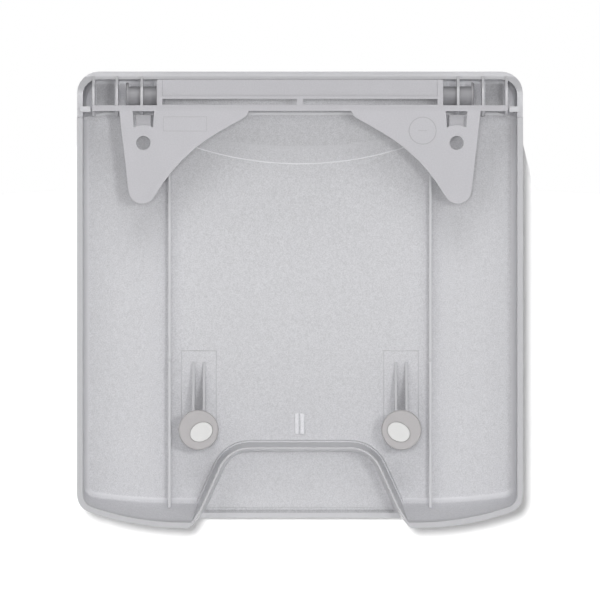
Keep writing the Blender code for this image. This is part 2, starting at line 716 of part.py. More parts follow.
def ellipse(centre, long_radius, short_radius, tilt):
    points = []
    for i in range(ROUND_STEPS):
        turn = 2 * math.pi * i / ROUND_STEPS
        u, v = long_radius * math.cos(turn), short_radius * math.sin(turn)
        points.append((centre[0] + u * math.cos(tilt) - v * math.sin(tilt),
                       centre[1] + u * math.sin(tilt) + v * math.cos(tilt)))
    return points


def make_buffers(model, rubber, white, hinge):
    """The buffers face the wall. Each holds a tilted oval plug, nearer the middle and lower than its centre."""
    towards_wall = Matrix.Rotation(-math.pi / 2, 4, "X")
    stem_end = BUFFER_WALL_GAP + BUFFER_THICKNESS + STEM_LENGTH
    for side, word in ((1, "left"), (-1, "right")):
        x = side * BUFFER_SPACING / 2
        place = Matrix.Translation((x, -stem_end, BUFFER_Z))
        buffer = turned(model, f"buffer_{word}", buffer_profile(), rubber, place @ towards_wall)
        centre = (x - side * PLUG_INWARD, BUFFER_Z - PLUG_DOWN)
        tilt = -side * PLUG_TILT
        pocket = ellipse(centre, PLUG_LONG_RADIUS + SEAT_GAP / 3, PLUG_SHORT_RADIUS + SEAT_GAP / 3, tilt)
        model.cut(buffer, facing_wall(f"plug pocket {word}", [pocket], -0.002,
                                      BUFFER_WALL_GAP + PLUG_DEPTH + SEAT_GAP / 3))
        oval = ellipse(centre, PLUG_LONG_RADIUS, PLUG_SHORT_RADIUS, tilt)
        plug = model.part(f"buffer_plug_{word}", facing_wall(f"buffer_plug_{word}", [oval], BUFFER_WALL_GAP,
                                                             BUFFER_WALL_GAP + PLUG_DEPTH), white)
        for thing in (buffer, plug):
            carry(thing, hinge)


def carry(thing, parent):
    """Parents without moving."""
    place = thing.matrix_world.copy()
    thing.parent = parent
    thing.matrix_parent_inverse = parent.matrix_world.inverted()
    thing.matrix_world = place


def main():
    clear_scene()
    model = Model()
    grey = plastic("lid plastic", GREY_PLASTIC, 0.5)
    bracket_grey = plastic("bracket plastic", BRACKET_PLASTIC, 0.45)
    rubber = plastic("buffer rubber", BUFFER_GREY, 0.7)
    white = plastic("plug plastic", PLUG_WHITE, 0.4)

    hinge = bpy.data.objects.new("hinge axis", None)
    hinge.location = (0, -HINGE_DEPTH, AXIS_Z)
    model.parts.objects.link(hinge)
    bpy.context.view_layer.update()

    lid = make_lid(model, grey)
    carry(lid, hinge)
    make_bracket(model, bracket_grey)
    make_pins(model, bracket_grey)
    make_buffers(model, rubber, white, hinge)


main()
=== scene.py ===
"""Looks of a hinged outdoor socket cover, seen from its wall side with the lid closed.

Metres, +Z up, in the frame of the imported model: the wall is the plane y = 0 and the lid lies at y < 0.
Depth is the distance in front of the wall, so y = -depth. Level is the depth with the crown of the lid's
front added, so that the whole floor of the lid is at one level.
"""

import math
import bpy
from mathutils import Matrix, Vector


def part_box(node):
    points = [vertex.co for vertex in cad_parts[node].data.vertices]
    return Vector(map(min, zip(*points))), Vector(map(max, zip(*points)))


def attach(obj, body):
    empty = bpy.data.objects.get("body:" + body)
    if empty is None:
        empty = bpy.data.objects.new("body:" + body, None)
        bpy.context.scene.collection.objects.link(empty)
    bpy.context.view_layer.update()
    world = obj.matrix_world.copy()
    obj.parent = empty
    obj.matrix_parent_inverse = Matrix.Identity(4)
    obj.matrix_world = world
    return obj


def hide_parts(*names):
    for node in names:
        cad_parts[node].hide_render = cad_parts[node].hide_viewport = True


bl_info = {
    "name": "Outdoor Socket Cover",
    "version": (1, 0, 0),
    "blender": (4, 5, 0),
    "location": "3D View > Sidebar > Socket Cover",
    "description": "Dresses a hinged outdoor socket cover with moulded plastic, rubber buffers and a studio",
    "category": "Object",
}

import bmesh
import bpy
from bpy.props import FloatProperty, FloatVectorProperty, PointerProperty
from mathutils import Vector

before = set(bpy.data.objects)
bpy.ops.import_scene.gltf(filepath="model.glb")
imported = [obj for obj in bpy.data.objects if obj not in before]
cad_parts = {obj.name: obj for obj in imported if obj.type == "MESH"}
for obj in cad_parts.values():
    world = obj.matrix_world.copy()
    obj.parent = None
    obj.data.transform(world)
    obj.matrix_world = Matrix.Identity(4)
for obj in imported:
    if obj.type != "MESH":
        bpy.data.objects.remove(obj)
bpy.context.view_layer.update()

# The lid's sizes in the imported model
LID_LOW, LID_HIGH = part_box("lid")
HALF_WIDTH = LID_HIGH.x
FRONT = -LID_LOW.y
BOTTOM = LID_LOW.z
SKIN = 0.0014
FLOOR = FRONT - SKIN
FLAT_HALF_WIDTH = 0.0255
CROWN = 0.0018

# Where the finishes change. Two numbers are a blend, from 0 at the first to 1 at the second. Three numbers
# are a range, 1 between the first two, with ends as soft as the third.

# How squarely a face of the lid looks at the wall, up to 1 where it is parallel to it
FLAT_FACING = (0.93, 0.975)
FOOT_FACING = (0.78, 0.975, 0.02)
SLOPE_FACING = (0.10, 0.78, 0.02)
WINDOW_FACING = (0.5, 0.6)

# Depths and levels on the lid
FLOOR_LEVEL = (FLOOR - 0.0012, FLOOR - 0.0003)
LAND_LEVEL = (FLOOR - 0.0020, FLOOR - 0.0012)
RIDGE_LEVEL = (0.0118, 0.01225, 0.00005)
CELL_LEVEL = (FRONT - 0.0009, FRONT - 0.0005)
CELL_DEPTH = (0.0078, FRONT - 0.0007, 0.0005)
LIP_DEPTH = (FLOOR - 0.0014, FLOOR - 0.0012)
RIM_DEPTH = (0.0004, 0.0012)
SLOPE_DEPTH = (0.0012, 0.002)

# Distances from the lid's middle line, on both sides of it, and the two ridges' place across it
LIP_SIDE = (0.0180, 0.0186)
RECESS_SIDE = (0.0150, 0.0165)
LOWER_SIDE = (0.024, 0.027)
CELL_SIDE = (0.0262, 0.0268)
FIRST_CELL_SIDE = (0.0358, 0.0395, 0.0003)
WINDOW_SIDE = (0.0272, 0.0330, 0.0003)
RIDGE_X = (-0.00075, 0.00115, 0.00008)

# Heights on the lid
LOW_HEIGHT = (BOTTOM + 0.0065, BOTTOM + 0.008)
LIP_HEIGHT = (-0.0780, -0.0777)
LIP_LINE_HEIGHT = (-0.07785, -0.07750, 0.00008)
RECESS_HEIGHT = (-0.0665, -0.0655)
LOWER_HEIGHT = (-0.066, -0.054)
RIDGE_HEIGHT = (-0.0629, -0.0588, 0.0002)
UPPER_HEIGHT = (-0.034, -0.008)
WINDOW_HEIGHT = (-0.0042, -0.0010, 0.0003)
CELL_HEIGHT = (-0.0010, -0.0004)

# Centre (beside the middle line, and in height) and radius of the rounding between the side and top walls,
# the blend on its inner face, and the blur of the edge above which the floor is smoother
CORNER_X = 0.0373
CORNER_Z = 0.0014
CORNER_RADIUS = 0.0040
CORNER_BLEND = (-0.05, 0.05)
STEP_BLUR = 0.00012

# How much lighter each of the lid's places is, as a share of its colour. Each amount is painted light or
# painted shade; ridge and foot are painted highlights.
LID_SHADES = {"rim": -0.15, "ridge": 0.30, "above_step": -0.05, "lip_line": -0.24, "lip": -0.14,
              "foot": 0.14, "slope": 0.20, "upper": -0.08, "lower": 0.06, "cells": 0.50, "first_cell": -0.68,
              "window": 0.50}

# The bracket's back face, the marks on its ears, and its places with painted shade
BACK_FACE = (-0.0001, 0.001, 0.00005)
RING_X = -0.0236
RING_Z = -0.00435
RING_HALF_LINE = 0.00008
RING_BLUR = 0.00005
BAR_LENGTH = (-0.0009, 0.0009, 0.00008)
BAR_THICKNESS = (-0.00007, 0.00007, 0.00004)
OUTLINE_X = (0.0179, 0.0264)
OUTLINE_Z = (-0.0045, -0.0016)
OUTLINE_LINE = 0.00015
OUTLINE_BLUR = 0.00004
HINGE_SIDE_HEIGHT = (-0.0008, 0.0)
TONGUE_SIDE = (0.0286, 0.0319, 0.0001)
TONGUE_HEIGHT = (-0.0034, -0.0009, 0.0001)
TONGUE_FADE = (-0.0034, -0.0010)
BAR_SHARE = 0.7
OUTLINE_SHARE = 0.6
# The groove darkens the grooves of the marks. Hinge_side, tongue and tongue_top, darkest at its top, are
# painted shade.
BRACKET_SHADES = {"groove": -0.20, "hinge_side": -0.06, "tongue": -0.12, "tongue_top": -0.20}

# Contrast of the lid's grain on sandy and on satin faces, and the share of its height on satin faces
SANDY_SPECK, SATIN_SPECK = 0.52, 0.08
SANDY_BLOTCH, SATIN_BLOTCH = 0.12, 0.02
SATIN_HEIGHT = 0.15
BEVEL_SAMPLES = 6

# Widths and heights of the other textures, in grains and in heights of the lid's sandy faces
BLOTCH_WIDTH, BLOTCH_HEIGHT = 4, 0.5
SILK_WIDTH, SILK_HEIGHT = 1.3, 0.6
GROOVE_HEIGHT = 2.0
JOINT_HEIGHT = 0.3

# Widths of the other features in the materials, and the heights of the finest ones
LID_CLOUD = 0.018
BRACKET_CLOUD = 0.012
TURNED_RING = 0.00022
RUBBER_BLOOM = 0.0015
PLUG_FLOW = 0.0012
PLUG_SPECK = 0.00015
STUDIO_DUST = 0.004
FINE_HEIGHT = 0.00002
PLUG_HEIGHT = 0.000006

# Merging of the CAD faces, and the angles from which an edge is a real one
MERGE_DISTANCE = 1e-6
FLAT_DEGREES = 0.4
MOULDED_DEGREES = 32
TURNED_DEGREES = 40
NORMAL_WEIGHT = 60

# Mould marks
BEAD_SIDES = 8
ARC_POINTS = 49

# Stage. The backdrop's half outline goes up its side, in by the shoulders (x, z) and along its top edge.
PICTURE_MIDDLE = Vector((0.0, 0.0, -0.03694))
SENSOR_WIDTH = 36.0
CLIP_START, CLIP_END = 0.05, 20.0
FLOOR_DROP = 0.30
FLOOR_REACH = 3.0
BACKDROP_REACH = 0.30
BACKDROP_SHOULDERS = ((BACKDROP_REACH, -0.030), (0.0455, -0.016))
BACKDROP_TOP_REACH = 0.0425
STUDIO_ROUGHNESS = 0.9

# The lamps on the object: name, the setting of its level, share of that level, width, place, seen in sheens
LAMPS = (
    ("face_lamp", "face", 1.0, 0.20, (0.05, 2.2, 0.02), False),
    ("key_lamp", "key", 1.0, 0.10, (-0.20, 1.08, 0.01), False),
    ("right_lamp", "side", 0.75, 0.40, (-0.45, 0.90, 0.05), True),
    ("left_lamp", "side", 1.3, 0.45, (0.40, 0.85, 0.10), True),
    ("top_lamp", "top", 1.0, 0.50, (0.0, 0.80, 0.60), True),
    ("front_lamp", "front", 1.0, 0.80, (-0.7, -1.0, 0.7), True),
    ("front_fill_lamp", "front", 0.6, 0.80, (0.9, -0.9, 0.1), True),
)
BACKDROP_LAMP_WIDTH = 0.35
BACKDROP_LAMP_PLACE = (0.171, 2.2, 0.145)

# The rays that see the backdrop and the world as the background of the picture
SEEING_RAYS = ("Is Camera Ray", "Is Glossy Ray", "Is Transmission Ray")


def length(name, description, default):
    return FloatProperty(name=name, description=description, default=default, unit="LENGTH", precision=5)


def colour(name, description, default):
    return FloatVectorProperty(name=name, description=description, default=default, subtype="COLOR",
                               size=3, min=0.0, max=1.0)


def factor(name, description, default):
    return FloatProperty(name=name, description=description, default=default, subtype="FACTOR",
                         min=0.0, max=1.0)


def amount(name, description, default):
    return FloatProperty(name=name, description=description, default=default, min=0.0)


class PlasticSettings(bpy.types.PropertyGroup):
    lid_colour: colour("Lid Colour", "Moulded grey of the lid", (0.605, 0.605, 0.625))
    bracket_colour: colour("Bracket Colour", "Moulded grey of the bracket and its pins", (0.515, 0.51, 0.535))
    gloss_roughness: factor("Satin Roughness", "Roughness of the lid's rims, walls and outside", 0.36)
    grain_roughness: factor("Grain Roughness", "Roughness of the sandy, spark-eroded faces", 0.62)
    bracket_roughness: factor("Bracket Roughness", "Roughness of the bracket", 0.44)
    pin_roughness: factor("Pin Roughness", "Roughness of the pins", 0.40)
    # Pin lightness is painted shade: it darkens the pins for the shade in the hinge cells.
    pin_lightness: factor("Pin Lightness", "How light the worn pins are beside the bracket", 0.68)
    grain_size: length("Grain Size", "Width of one grain of the sandy faces", 0.00022)
    grain_height: length("Grain Height", "Height of the grain", 0.00003)
    edge_radius: length("Edge Radius", "Radius that the mould leaves on every sharp edge", 0.00010)


class BufferSettings(bpy.types.PropertyGroup):
    buffer_colour: colour("Buffer Colour", "Grey of the soft buffers", (0.475, 0.46, 0.465))
    buffer_roughness: factor("Buffer Roughness", "Roughness of the soft buffers", 0.74)
    plug_colour: colour("Plug Colour", "White of the plugs in the buffers", (0.73, 0.73, 0.725))
    plug_roughness: factor("Plug Roughness", "Roughness of the plugs", 0.34)


class MarkSettings(bpy.types.PropertyGroup):
    line_radius: length("Witness Line Radius", "Radius of the bead that a joint in the mould leaves", 0.00013)
    insert_width: length("Insert Width", "Width of the insert's outline round the gussets", 0.0067)
    insert_height: length("Insert Height", "Height of the insert's outline above the buffer's centre", 0.0152)
    insert_lightness: amount("Insert Lightness", "How light that outline is beside the lid", 0.92)
    arc_radius: length("Arc Radius", "Radius of the joint line below the hinge", 0.0656)
    arc_place: length("Arc Place", "Lowest point of that line, from the bracket's strip", -0.01056)
    arc_half_width: length("Arc Half Width", "Half the width of that line", 0.0284)
    # The arc's lightness is a painted highlight along its bead.
    arc_highlight: amount("Arc Lightness", "How light that line is beside the lid", 1.25)
    step_radius: length("Step Radius", "Radius of the edge above which the floor is smoother", 0.1050)
    step_centre: length("Step Centre", "Height of that edge's centre above the bracket's strip", 0.0978)
    ring_radius: length("Ring Radius", "Radius of the ring left on the right ear", 0.0026)


class StageSettings(bpy.types.PropertyGroup):
    floor_colour: colour("Floor Colour", "Pale floor and backdrop", (0.93, 0.93, 0.93))
    floor_glow: amount("Floor Glow", "Lifts the floor to white where the camera sees it", 1.0)
    glow: amount("Backdrop Glow", "Lifts the backdrop to white where the camera sees it", 0.03)
    backdrop_gap: length("Backdrop Gap", "From the lid's front to the backdrop", 0.0015)
    backdrop_top: length("Backdrop Top", "Height of the backdrop's edge, which the open lid clears", -0.004)
    camera_distance: length("Camera Distance", "From the wall plane to the camera", 2.5)
    frame_width: length("Frame Width", "Width of the wall plane that the picture takes in", 0.1155)
    ambient: amount("Ambient", "Strength of the world's light on surfaces", 0.14)
    face: amount("Face Light", "Level of the lamp beside the camera", 0.21)
    key: amount("Key Light", "Level of the small lamp on the picture's right", 0.195)
    side: amount("Side Light", "Level of the wide lamps at the sides", 0.075)
    top: amount("Top Light", "Level of the wide lamp above", 0.19)
    front: amount("Front Light", "Level of the lamps on the lid's front", 0.40)
    backdrop: amount("Backdrop Light", "Level of the lamp that lights the backdrop", 0.94)


# Shader maths

class Value:
    """An output socket that takes part in shader expressions."""

    def __init__(self, shader, socket):
        self.shader = shader
        self.socket = socket

    def math(self, operation, *others):
        return self.shader.add("ShaderNodeMath", {"operation": operation}, [self, *others])

    def __add__(self, other):
        return self.math("ADD", other)

    def __sub__(self, other):
        return self.math("SUBTRACT", other)

    def __mul__(self, other):
        return self.math("MULTIPLY", other)

    def __truediv__(self, other):
        return self.math("DIVIDE", other)

    def __pow__(self, other):
        return self.math("POWER", other)

    def __radd__(self, other):
        return self.math("ADD", other)

    def __rsub__(self, other):
        return self.shader.add("ShaderNodeMath", {"operation": "SUBTRACT"}, [other, self])

    def __neg__(self):
        return self.math("MULTIPLY", -1.0)

    def __abs__(self):
        return self.math("ABSOLUTE")

    def above(self, low, high):
        """0 below low, 1 above high, and smooth between them."""
        return self.shader.add("ShaderNodeMapRange", {"interpolation_type": "SMOOTHSTEP"},
                               {"Value": self, "From Min": low, "From Max": high})

    def below(self, low, high):
        """1 below low, 0 above high, and smooth between them."""
        return 1 - self.above(low, high)

    def within(self, low, high, blur):
        """1 between low and high, with soft ends."""
        return self.above(low - blur, low + blur) * self.below(high - blur, high + blur)

    def larger(self, other):
        return self.math("MAXIMUM", other)


class Shader:
    """One material's node tree, written as expressions."""

    def __init__(self, name):
        self.material = bpy.data.materials.new(name)
        self.material.use_nodes = True
        self.tree = self.material.node_tree
        self.surface = self.tree.nodes["Principled BSDF"]
        self.place = self.add("ShaderNodeTexCoord", {}, {}, "Object")
        self.x, self.y, self.z = (self.add("ShaderNodeSeparateXYZ", {}, [self.place], axis) for axis in "XYZ")
        facing = self.add("ShaderNodeTexCoord", {}, {}, "Normal")
        self.facing_wall = self.add("ShaderNodeSeparateXYZ", {}, [facing], "Y")

    def add(self, kind, settings, inputs, output=0):
        """Adds a node: its settings first, then its inputs by name or number. Returns one of its outputs."""
        node = self.tree.nodes.new(kind)
        for name, value in settings.items():
            setattr(node, name, value)
        named = inputs.items() if isinstance(inputs, dict) else enumerate(inputs)
        for name, value in named:
            self.set(node.inputs[name], value)
        return Value(self, node.outputs[output])

    def set(self, socket, value):
        if isinstance(value, Value):
            self.tree.links.new(value.socket, socket)
        else:
            socket.default_value = value

    def noise(self, size, detail=2.0, roughness=0.5, place=None):
        """Noise from 0 to 1 whose features are about size wide."""
        return self.add("ShaderNodeTexNoise", {}, {"Vector": place or self.place, "Scale": 1.0 / size,
                                                   "Detail": detail, "Roughness": roughness})

    def stretched(self, scale):
        """The place, scaled along each axis."""
        return self.add("ShaderNodeMapping", {}, {"Vector": self.place, "Scale": scale})

    def tint(self, shade, amount):
        """A colour made lighter or darker by a value round 1."""
        return self.add("ShaderNodeVectorMath", {"operation": "SCALE"}, {0: tuple(shade), "Scale": amount})

    def bump(self, height, distance, strength):
        return self.add("ShaderNodeBump", {}, {"Height": height, "Distance": distance, "Strength": strength})

    def bump_on_rounding(self, height, distance, strength, radius):
        """Bump on a face whose sharp edges look rounded."""
        rounding = self.add("ShaderNodeBevel", {"samples": BEVEL_SAMPLES}, {"Radius": radius})
        return self.add("ShaderNodeBump", {}, {"Height": height, "Distance": distance, "Strength": strength,
                                               "Normal": rounding})

    def finish(self, **inputs):
        for name, value in inputs.items():
            self.set(self.surface.inputs[name.replace("_", " ")], value)
        return self.material


def uneven(noise, spread):
    """The noise round 0, over this spread."""
    return (noise - 0.5) * spread


def distance(first, second):
    return (first * first + second * second) ** 0.5


def shaded(shade, places, amounts):
    """A shade with each place made lighter by its amount."""
    for name, place in places.items():
        shade = shade + place * amounts[name]
    return shade


def crown_at(shader):
    """How far the lid's front and floor fall back at this x."""
    beyond = (abs(shader.x) - FLAT_HALF_WIDTH).larger(0.0) / (HALF_WIDTH - FLAT_HALF_WIDTH)
    return beyond * beyond * CROWN


def lid_places(shader, marks):
    """The lid's sandy faces, and its places with painted light and shade."""
    depth = -shader.y
    beside = abs(shader.x)
    height = shader.z
    facing = shader.facing_wall
    level = depth + crown_at(shader)
    flat = facing.above(*FLAT_FACING)
    floor = level.above(*FLOOR_LEVEL)
    land = level.above(*LAND_LEVEL) * flat
    low = height.below(*LOW_HEIGHT)
    foot = facing.within(*FOOT_FACING) * floor * low
    slope = facing.within(*SLOPE_FACING) * depth.above(*SLOPE_DEPTH) * low
    to_step = distance(shader.x, height - marks.step_centre)
    above_step = land * to_step.below(marks.step_radius - STEP_BLUR, marks.step_radius + STEP_BLUR)
    sandy = (floor * flat).larger(slope).larger(above_step)
    lip_side = beside.below(*LIP_SIDE) * depth.above(*LIP_DEPTH)
    recess = height.below(*RECESS_HEIGHT) * beside.below(*RECESS_SIDE)
    past_corner = distance((beside - CORNER_X).larger(0.0), (height - CORNER_Z).larger(0.0))
    in_walls = (1 - past_corner / CORNER_RADIUS).above(*CORNER_BLEND)
    cells = (in_walls * height.above(*CELL_HEIGHT) * beside.above(*CELL_SIDE)
             * depth.within(*CELL_DEPTH) * level.below(*CELL_LEVEL))
    return sandy, {
        # Rim, lip, lip_line, above_step, upper and first_cell are painted shade; ridge and foot are painted
        # highlights; slope, lower, cells and window are painted light.
        "rim": depth.below(*RIM_DEPTH),
        "ridge": shader.x.within(*RIDGE_X) * height.within(*RIDGE_HEIGHT) * level.within(*RIDGE_LEVEL),
        "above_step": above_step,
        "lip_line": height.within(*LIP_LINE_HEIGHT) * lip_side,
        "lip": height.below(*LIP_HEIGHT) * lip_side,
        "foot": foot,
        "slope": slope,
        "upper": height.above(*UPPER_HEIGHT) * land,
        "lower": height.below(*LOWER_HEIGHT) * beside.below(*LOWER_SIDE) * land * (1 - recess),
        "cells": cells,
        "first_cell": beside.within(*FIRST_CELL_SIDE) * cells,
        "window": (beside.within(*WINDOW_SIDE) * height.within(*WINDOW_HEIGHT) * land
                   * facing.above(*WINDOW_FACING)),
    }


def lid_plastic(settings, marks):
    """Light grey moulding: sandy on its floor and its low slopes, satin on walls, ribs, rims and outside."""
    shader = Shader("lid_moulded_grey")
    sandy, places = lid_places(shader, marks)
    speck = shader.noise(settings.grain_size, detail=2.5, roughness=0.65)
    blotch = shader.noise(settings.grain_size * BLOTCH_WIDTH)
    cloud = shader.noise(LID_CLOUD)
    shade = (1.0 + uneven(speck, sandy * SANDY_SPECK + SATIN_SPECK)
             + uneven(blotch, sandy * SANDY_BLOTCH + SATIN_BLOTCH) + uneven(cloud, 0.03))
    grain = (speck + blotch * BLOTCH_HEIGHT) * (sandy * (1 - SATIN_HEIGHT) + SATIN_HEIGHT)
    # The base colour carries the lid's painted light and shade, place by place.
    return shader.finish(
        Base_Color=shader.tint(settings.lid_colour, shaded(shade, places, LID_SHADES)),
        Roughness=sandy * (settings.grain_roughness - settings.gloss_roughness) + settings.gloss_roughness,
        Normal=shader.bump_on_rounding(grain, settings.grain_height, strength=0.8, radius=settings.edge_radius))


def joint_plastic(settings, name, lightness):
    """The lid's plastic along a joint of the mould: smoother, and a little lighter or darker; the arc's lighter
    bead is a painted highlight.
    """
    shader = Shader(name)
    speck = shader.noise(settings.grain_size, roughness=0.6)
    return shader.finish(
        Base_Color=shader.tint(settings.lid_colour, lightness + uneven(speck, 0.2)),
        Roughness=settings.gloss_roughness + uneven(speck, 0.1),
        Normal=shader.bump(speck, settings.grain_height * JOINT_HEIGHT, strength=0.6))


def outline(shader, inset):
    """A rectangle on the left ear, made smaller by the inset."""
    across = shader.x.within(OUTLINE_X[0] + inset, OUTLINE_X[1] - inset, OUTLINE_BLUR)
    upright = shader.z.within(OUTLINE_Z[0] + inset, OUTLINE_Z[1] - inset, OUTLINE_BLUR)
    return across * upright


def bracket_places(shader, marks):
    """The grooves of the bracket's marks, and its places with painted shade."""
    ring_x, ring_z = shader.x - RING_X, shader.z - RING_Z
    ring = distance(ring_x, ring_z).within(marks.ring_radius - RING_HALF_LINE,
                                           marks.ring_radius + RING_HALF_LINE, RING_BLUR)
    bar = ring_z.within(*BAR_THICKNESS) * ring_x.within(*BAR_LENGTH)
    line = outline(shader, 0.0) - outline(shader, OUTLINE_LINE)
    tongue = abs(shader.x).within(*TONGUE_SIDE) * shader.z.within(*TONGUE_HEIGHT)
    return {
        "groove": (ring + bar * BAR_SHARE + line * OUTLINE_SHARE) * shader.y.within(*BACK_FACE),
        # hinge_side, tongue and tongue_top are painted shade.
        "hinge_side": shader.z.above(*HINGE_SIDE_HEIGHT),
        "tongue": tongue,
        "tongue_top": tongue * shader.z.above(*TONGUE_FADE),
    }


def bracket_plastic(settings, marks):
    """Slightly darker moulding with a fine silky texture, the plain marks that its mould leaves, and painted
    shade along its hinge side and on its tongues.
    """
    shader = Shader("bracket_moulded_grey")
    places = bracket_places(shader, marks)
    speck = shader.noise(settings.grain_size * SILK_WIDTH, roughness=0.6)
    cloud = shader.noise(BRACKET_CLOUD)
    shade = 1.0 + uneven(speck, 0.20) + uneven(cloud, 0.05)
    silk = speck - places["groove"] * GROOVE_HEIGHT
    silk_height = settings.grain_height * SILK_HEIGHT
    return shader.finish(
        Base_Color=shader.tint(settings.bracket_colour, shaded(shade, places, BRACKET_SHADES)),
        Roughness=settings.bracket_roughness + uneven(speck, 0.1),
        Normal=shader.bump_on_rounding(silk, silk_height, strength=0.7, radius=settings.edge_radius))


def pin_plastic(settings):
    """The bracket's plastic on its pins, darkened with painted shade for the shade in the hinge cells, and with
    fine turned rings.
    """
    shader = Shader("pin_worn_grey")
    rings = shader.noise(TURNED_RING, roughness=0.6, place=shader.stretched((1.0, 0.0, 0.0)))
    speck = shader.noise(settings.grain_size, roughness=0.6)
    shade = settings.pin_lightness + uneven(rings, 0.08) + uneven(speck, 0.06)
    return shader.finish(
        Base_Color=shader.tint(settings.bracket_colour, shade),
        Roughness=settings.pin_roughness + uneven(rings, 0.12),
        Normal=shader.bump(rings, FINE_HEIGHT, strength=0.6))


def buffer_rubber(settings, grain_size):
    """Matt soft grey, with a very fine bloom."""
    shader = Shader("buffer_soft_grey")
    speck = shader.noise(grain_size, detail=3.0, roughness=0.6)
    bloom = shader.noise(RUBBER_BLOOM)
    return shader.finish(
        Base_Color=shader.tint(settings.buffer_colour, 1.0 + uneven(speck, 0.06) + uneven(bloom, 0.05)),
        Roughness=settings.buffer_roughness + uneven(bloom, 0.12),
        Normal=shader.bump(speck, FINE_HEIGHT, strength=0.6))


def plug_plastic(settings):
    """Plain white, a little glossy, with faint flow marks."""
    shader = Shader("plug_white")
    flow = shader.noise(PLUG_FLOW, place=shader.stretched((1.0, 1.0, 4.0)))
    speck = shader.noise(PLUG_SPECK)
    return shader.finish(
        Base_Color=shader.tint(settings.plug_colour, 1.0 + uneven(flow, 0.02)),
        Roughness=settings.plug_roughness + uneven(flow, 0.1),
        Normal=shader.bump(speck, PLUG_HEIGHT, strength=0.5))


# Pieces

def link(name, mesh, material, body):
    """A finished piece at the origin, riding on a body."""
    mesh.materials.clear()
    mesh.materials.append(material)
    piece = bpy.data.objects.new(name, mesh)
    bpy.context.scene.collection.objects.link(piece)
    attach(piece, body)
    return piece


def merged_copy(node, sharp_degrees):
    """A CAD node's shape as whole faces, smooth except at its real edges."""
    bm = bmesh.new()
    bm.from_mesh(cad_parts[node].data)
    bmesh.ops.remove_doubles(bm, verts=bm.verts, dist=MERGE_DISTANCE)
    bmesh.ops.dissolve_limit(bm, angle_limit=math.radians(FLAT_DEGREES), verts=bm.verts, edges=bm.edges)
    for edge in bm.edges:
        edge.smooth = edge.calc_face_angle(0.0) < math.radians(sharp_degrees)
    for face in bm.faces:
        face.smooth = True
    mesh = bpy.data.meshes.new(node + "_shape")
    bm.to_mesh(mesh)
    bm.free()
    return mesh


def weigh_normals(piece):
    """Keeps large faces flat where they meet a rounding."""
    modifier = piece.modifiers.new("even shading", "WEIGHTED_NORMAL")
    modifier.keep_sharp = True
    modifier.weight = NORMAL_WEIGHT


class Tree:
    """One Geometry Nodes tree, with named inputs for its sizes and its material."""

    def __init__(self, name, sizes):
        self.group = bpy.data.node_groups.new(name, "GeometryNodeTree")
        self.group.interface.new_socket("Geometry", in_out="OUTPUT", socket_type="NodeSocketGeometry")
        self.identifiers = {}
        for size in sizes:
            self.input(size, "NodeSocketFloat")
        self.input("Material", "NodeSocketMaterial")
        self.source = self.group.nodes.new("NodeGroupInput")

    def input(self, name, kind):
        item = self.group.interface.new_socket(name, in_out="INPUT", socket_type=kind)
        self.identifiers[name] = item.identifier

    def add(self, kind, settings, inputs):
        """Adds a node. An input is a number, the name of one of the tree's inputs, or a socket or several."""
        node = self.group.nodes.new(kind)
        for name, value in settings.items():
            setattr(node, name, value)
        for name, value in inputs.items():
            if isinstance(value, str):
                value = self.source.outputs[value]
            sources = value if isinstance(value, list) else [value]
            if isinstance(sources[0], bpy.types.NodeSocket):
                for source in sources:
                    self.group.links.new(source, node.inputs[name])
            else:
                node.inputs[name].default_value = value
        return node.outputs[0]

    def math(self, operation, first, second=0.0):
        return self.add("ShaderNodeMath", {"operation": operation}, {0: first, 1: second})

    def tube(self, curve, capped):
        """A bead along the curve."""
        bead = self.add("GeometryNodeCurvePrimitiveCircle", {}, {"Resolution": BEAD_SIDES,
                                                                 "Radius": "Radius"})
        return self.add("GeometryNodeCurveToMesh", {}, {"Curve": curve, "Profile Curve": bead,
                                                        "Fill Caps": capped})

    def end(self, geometry):
        """Makes the geometry real and smooth, gives it the material and ends the tree with it."""
        real = self.add("GeometryNodeRealizeInstances", {}, {"Geometry": geometry})
        smooth = self.add("GeometryNodeSetShadeSmooth", {}, {"Geometry": real})
        done = self.add("GeometryNodeSetMaterial", {}, {"Geometry": smooth, "Material": "Material"})
        out = self.group.nodes.new("NodeGroupOutput")
        self.group.links.new(done, out.inputs[0])

    def mesh(self, name, values):
        """Runs the tree with these input values, and returns its result as a plain mesh."""
        holder = bpy.data.objects.new(name, bpy.data.meshes.new(name))
        bpy.context.scene.collection.objects.link(holder)
        modifier = holder.modifiers.new(name, "NODES")
        modifier.node_group = self.group
        for key, value in values.items():
            modifier[self.identifiers[key]] = value
        evaluated = holder.evaluated_get(bpy.context.evaluated_depsgraph_get())
        mesh = bpy.data.meshes.new_from_object(evaluated)
        bpy.data.objects.remove(holder)
        return mesh


class SOCKETCOVER_OT_lid(bpy.types.Operator):
    """Dress the lid in sandy and satin plastic"""
    bl_idname = "socketcover.lid"
    bl_label = "Lid"

    def execute(self, context):
        material = lid_plastic(context.scene.cover_plastic, context.scene.cover_marks)
        lid = link("lid_shell", merged_copy("lid", MOULDED_DEGREES), material, "lid")
        weigh_normals(lid)
        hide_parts("lid")
        return {"FINISHED"}


class SOCKETCOVER_OT_bracket(bpy.types.Operator):
    """Dress the hinge bracket in silky plastic with painted shade along its hinge side and on its tongues, and
    its pins in plastic darkened with painted shade
    """
    bl_idname = "socketcover.bracket"
    bl_label = "Hinge Bracket"

    def execute(self, context):
        material = bracket_plastic(context.scene.cover_plastic, context.scene.cover_marks)
        bracket = link("bracket_plate", merged_copy("hinge_bracket", MOULDED_DEGREES), material, "bracket")
        weigh_normals(bracket)
        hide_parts("hinge_bracket")
        shade_painted = pin_plastic(context.scene.cover_plastic)
        for node in ("hinge_pin_left", "hinge_pin_right"):
            pin = link(node.replace("hinge_", ""), merged_copy(node, TURNED_DEGREES), shade_painted, "bracket")
            weigh_normals(pin)
            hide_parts(node)
        return {"FINISHED"}


